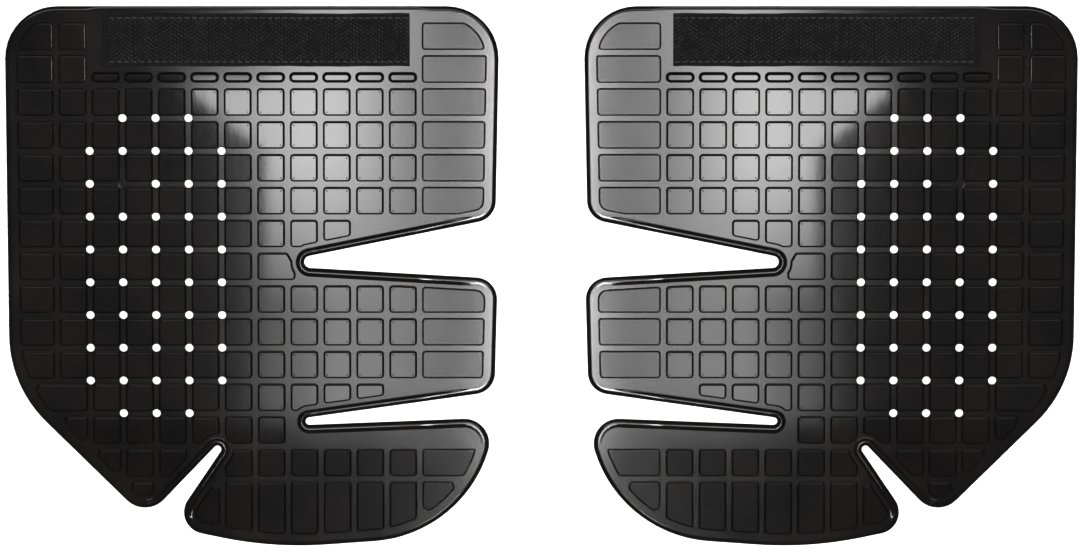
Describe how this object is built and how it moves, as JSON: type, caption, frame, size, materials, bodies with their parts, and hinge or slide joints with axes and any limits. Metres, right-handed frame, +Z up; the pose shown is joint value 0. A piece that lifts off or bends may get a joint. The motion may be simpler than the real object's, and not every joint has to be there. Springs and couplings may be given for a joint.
{
  "type": "kick shield",
  "caption": "Pair of mirrored flexible moulded lower-leg guards with a raised pad grid, vent holes, folding flaps and a sewn hook tape strip.",
  "frame": {"origin": "bottom centre of the pair's box: on the mirror plane between the two guards, level with their flat backs", "axes": "+Z up, out of the pads; +Y towards the straight edge with the hook tape; +X towards the right-hand guard, whose flaps point back at the mirror plane"},
  "size_m": [0.5136, 0.26, 0.005],
  "materials": {
    "moulding": "glossy moulded black",
    "hook_tape": "matt woven nylon with hooks",
    "thread": "bonded nylon thread"
  },
  "bodies": {
    "left_main_panel": {"left_main_panel": "moulding", "left_hook_tape": "hook_tape", "left_tape_stitching": "thread"},
    "left_upper_flap": {"left_upper_flap": "moulding", "left_hook_tape_end": "hook_tape", "left_tape_stitching_end": "thread"},
    "left_upper_end_tab": {"left_upper_end_tab": "moulding"},
    "left_middle_flap": {"left_middle_flap": "moulding"},
    "left_middle_end_tab": {"left_middle_end_tab": "moulding"},
    "left_foot_flap": {"left_foot_flap": "moulding"},
    "left_foot_end_tab": {"left_foot_end_tab": "moulding"},
    "left_heel_tab": {"left_heel_tab": "moulding"},
    "right_main_panel": {"right_main_panel": "moulding", "right_hook_tape": "hook_tape", "right_tape_stitching": "thread"},
    "right_upper_flap": {"right_upper_flap": "moulding", "right_hook_tape_end": "hook_tape", "right_tape_stitching_end": "thread"},
    "right_upper_end_tab": {"right_upper_end_tab": "moulding"},
    "right_middle_flap": {"right_middle_flap": "moulding"},
    "right_middle_end_tab": {"right_middle_end_tab": "moulding"},
    "right_foot_flap": {"right_foot_flap": "moulding"},
    "right_foot_end_tab": {"right_foot_end_tab": "moulding"},
    "right_heel_tab": {"right_heel_tab": "moulding"}
  },
  "joints": [
    {"name": "left_upper_flap_fold", "type": "hinge", "parent": "left_main_panel", "child": "left_upper_flap", "pos_m": [-0.1059, 0.06, 0.0025], "axis": [0, -1, 0], "range_deg": [0, 75], "stiffness_Nm_per_rad": 0.1},
    {"name": "left_upper_end_tab_fold", "type": "hinge", "parent": "left_upper_flap", "child": "left_upper_end_tab", "pos_m": [-0.0585, 0.06, 0.0025], "axis": [0, -1, 0], "range_deg": [0, 75], "stiffness_Nm_per_rad": 0.1},
    {"name": "left_middle_flap_fold", "type": "hinge", "parent": "left_main_panel", "child": "left_middle_flap", "pos_m": [-0.1059, -0.03, 0.0025], "axis": [0, -1, 0], "range_deg": [0, 75], "stiffness_Nm_per_rad": 0.1},
    {"name": "left_middle_end_tab_fold", "type": "hinge", "parent": "left_middle_flap", "child": "left_middle_end_tab", "pos_m": [-0.0585, -0.03, 0.0025], "axis": [0, -1, 0], "range_deg": [0, 75], "stiffness_Nm_per_rad": 0.1},
    {"name": "left_foot_flap_fold", "type": "hinge", "parent": "left_main_panel", "child": "left_foot_flap", "pos_m": [-0.1059, -0.098, 0.0025], "axis": [0, -1, 0], "range_deg": [0, 75], "stiffness_Nm_per_rad": 0.1},
    {"name": "left_foot_end_tab_fold", "type": "hinge", "parent": "left_foot_flap", "child": "left_foot_end_tab", "pos_m": [-0.0585, -0.098, 0.0025], "axis": [0, -1, 0], "range_deg": [0, 75], "stiffness_Nm_per_rad": 0.1},
    {"name": "left_heel_tab_fold", "type": "hinge", "parent": "left_main_panel", "child": "left_heel_tab", "pos_m": [-0.19, -0.0819, 0.0025], "axis": [-1, 0, 0], "range_deg": [0, 75], "stiffness_Nm_per_rad": 0.1},
    {"name": "right_upper_flap_fold", "type": "hinge", "parent": "right_main_panel", "child": "right_upper_flap", "pos_m": [0.1059, 0.06, 0.0025], "axis": [0, 1, 0], "range_deg": [0, 75], "stiffness_Nm_per_rad": 0.1},
    {"name": "right_upper_end_tab_fold", "type": "hinge", "parent": "right_upper_flap", "child": "right_upper_end_tab", "pos_m": [0.0585, 0.06, 0.0025], "axis": [0, 1, 0], "range_deg": [0, 75], "stiffness_Nm_per_rad": 0.1},
    {"name": "right_middle_flap_fold", "type": "hinge", "parent": "right_main_panel", "child": "right_middle_flap", "pos_m": [0.1059, -0.03, 0.0025], "axis": [0, 1, 0], "range_deg": [0, 75], "stiffness_Nm_per_rad": 0.1},
    {"name": "right_middle_end_tab_fold", "type": "hinge", "parent": "right_middle_flap", "child": "right_middle_end_tab", "pos_m": [0.0585, -0.03, 0.0025], "axis": [0, 1, 0], "range_deg": [0, 75], "stiffness_Nm_per_rad": 0.1},
    {"name": "right_foot_flap_fold", "type": "hinge", "parent": "right_main_panel", "child": "right_foot_flap", "pos_m": [0.1059, -0.098, 0.0025], "axis": [0, 1, 0], "range_deg": [0, 75], "stiffness_Nm_per_rad": 0.1},
    {"name": "right_foot_end_tab_fold", "type": "hinge", "parent": "right_foot_flap", "child": "right_foot_end_tab", "pos_m": [0.0585, -0.098, 0.0025], "axis": [0, 1, 0], "range_deg": [0, 75], "stiffness_Nm_per_rad": 0.1},
    {"name": "right_heel_tab_fold", "type": "hinge", "parent": "right_main_panel", "child": "right_heel_tab", "pos_m": [0.19, -0.0819, 0.0025], "axis": [-1, 0, 0], "range_deg": [0, 75], "stiffness_Nm_per_rad": 0.1},
    {"name": "right_guard_apart", "type": "slide", "parent": "left_main_panel", "child": "right_main_panel", "axis": [1, 0, 0], "range_m": [0, 0.25]}
  ]
}
